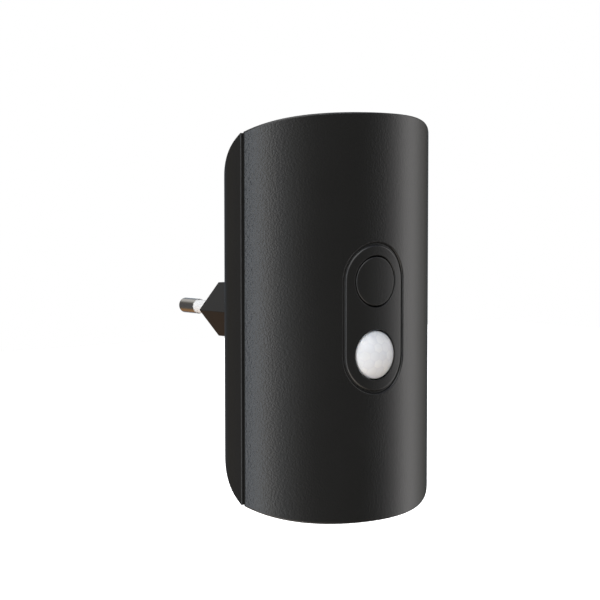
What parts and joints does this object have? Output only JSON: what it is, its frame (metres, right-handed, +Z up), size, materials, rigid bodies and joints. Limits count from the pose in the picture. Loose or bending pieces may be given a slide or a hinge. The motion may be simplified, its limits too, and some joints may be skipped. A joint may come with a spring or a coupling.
{
  "type": "ultrasonic pest repeller",
  "caption": "Wall plug-in ultrasonic pest repeller: tall bowed black case with a pill-shaped panel, push button, milky motion-sensor lens and flat mains plug.",
  "frame": {"origin": "centre of the plug's contact face, midway between the two pins", "axes": "+Y out of the plug's face, along the pins and into the socket; +Z up; the bowed front faces -Y"},
  "size_m": [0.06, 0.0722, 0.0998],
  "materials": {
    "front_plastic": "finely grained, satin black",
    "panel_plastic": "smooth satin black",
    "button_plastic": "smooth satin black",
    "cover_plastic": "fine satin black",
    "plug_plastic": "satin black",
    "lens_plastic": "milky translucent white with a pattern of small lenses",
    "retainer_plastic": "matte dark grey",
    "pin_metal": "nickel-plated, polished",
    "sleeve_plastic": "white insulating sleeve",
    "screw_steel": "zinc-plated",
    "strap_brass": "bare strip",
    "board_laminate": "green solder resist",
    "switch_plastic": "moulded black",
    "plunger_plastic": "moulded dark",
    "sheet_metal": "tinned",
    "tinned_wire": "tinned",
    "sensor_window": "dark infrared filter",
    "led_epoxy": "cast resin",
    "header_plastic": "moulded black",
    "film_box": "amber box",
    "can_sleeve": "dark blue shrink sleeve",
    "chip_epoxy": "moulded black",
    "varistor_coat": "dipped blue",
    "fuse_coat": "cement green",
    "ferrite": "sintered dark grey",
    "bobbin_plastic": "moulded nylon",
    "copper_winding": "enamelled copper",
    "transducer_alloy": "drawn cup",
    "piezo_ceramic": "ceramic on a brass disc",
    "soft_rubber": "soft black",
    "wire_red": "insulated wire"
  },
  "bodies": {
    "housing": {"front_shell": "front_plastic", "rear_cover": "cover_plastic", "housing_screws": "screw_steel", "plug_insert": "plug_plastic", "control_panel": "panel_plastic", "pir_lens": "lens_plastic", "lens_retainer": "retainer_plastic", "sensor_board": "board_laminate", "sensor_board_screws": "screw_steel", "switch_body": "switch_plastic", "switch_cover": "sheet_metal", "switch_legs": "tinned_wire", "pir_can": "sheet_metal", "pir_window": "sensor_window", "pir_base": "sheet_metal", "pir_leads": "tinned_wire", "status_led": "led_epoxy", "board_header": "header_plastic", "header_pins": "tinned_wire", "main_board": "board_laminate", "main_board_screws": "screw_steel", "film_capacitor": "film_box", "storage_capacitor": "can_sleeve", "filter_capacitor": "can_sleeve", "component_leads": "tinned_wire", "bridge_rectifier": "chip_epoxy", "varistor": "varistor_coat", "fuse_resistor": "fuse_coat", "fuse_leads": "tinned_wire", "transformer_core": "ferrite", "transformer_bobbin": "bobbin_plastic", "transformer_winding": "copper_winding", "transformer_pins": "tinned_wire", "controller_chip": "chip_epoxy", "controller_pins": "tinned_wire", "drive_transistors": "chip_epoxy", "transistor_legs": "tinned_wire", "transducer_case": "transducer_alloy", "transducer_cone": "transducer_alloy", "transducer_disc": "piezo_ceramic", "transducer_post": "soft_rubber", "transducer_base": "bobbin_plastic", "transducer_pins": "tinned_wire", "transducer_gasket": "soft_rubber", "transducer_leads": "wire_red", "plug_pin_left": "pin_metal", "plug_pin_right": "pin_metal", "pin_sleeve_left": "sleeve_plastic", "pin_sleeve_right": "sleeve_plastic", "mains_strap_left": "strap_brass", "mains_strap_right": "strap_brass"},
    "button": {"button_cap": "button_plastic"},
    "plunger": {"switch_plunger": "plunger_plastic"}
  },
  "joints": [
    {"name": "button_press", "type": "slide", "parent": "housing", "child": "button", "axis": [0, 1, 0], "range_m": [0, 0.0004], "stiffness_N_per_m": 2000},
    {"name": "plunger_press", "type": "slide", "parent": "housing", "child": "plunger", "axis": [0, 1, 0], "range_m": [0, 0.0004]}
  ],
  "couplings": [
    {"joint": "plunger_press", "follows": "button_press", "ratio": 1}
  ]
}
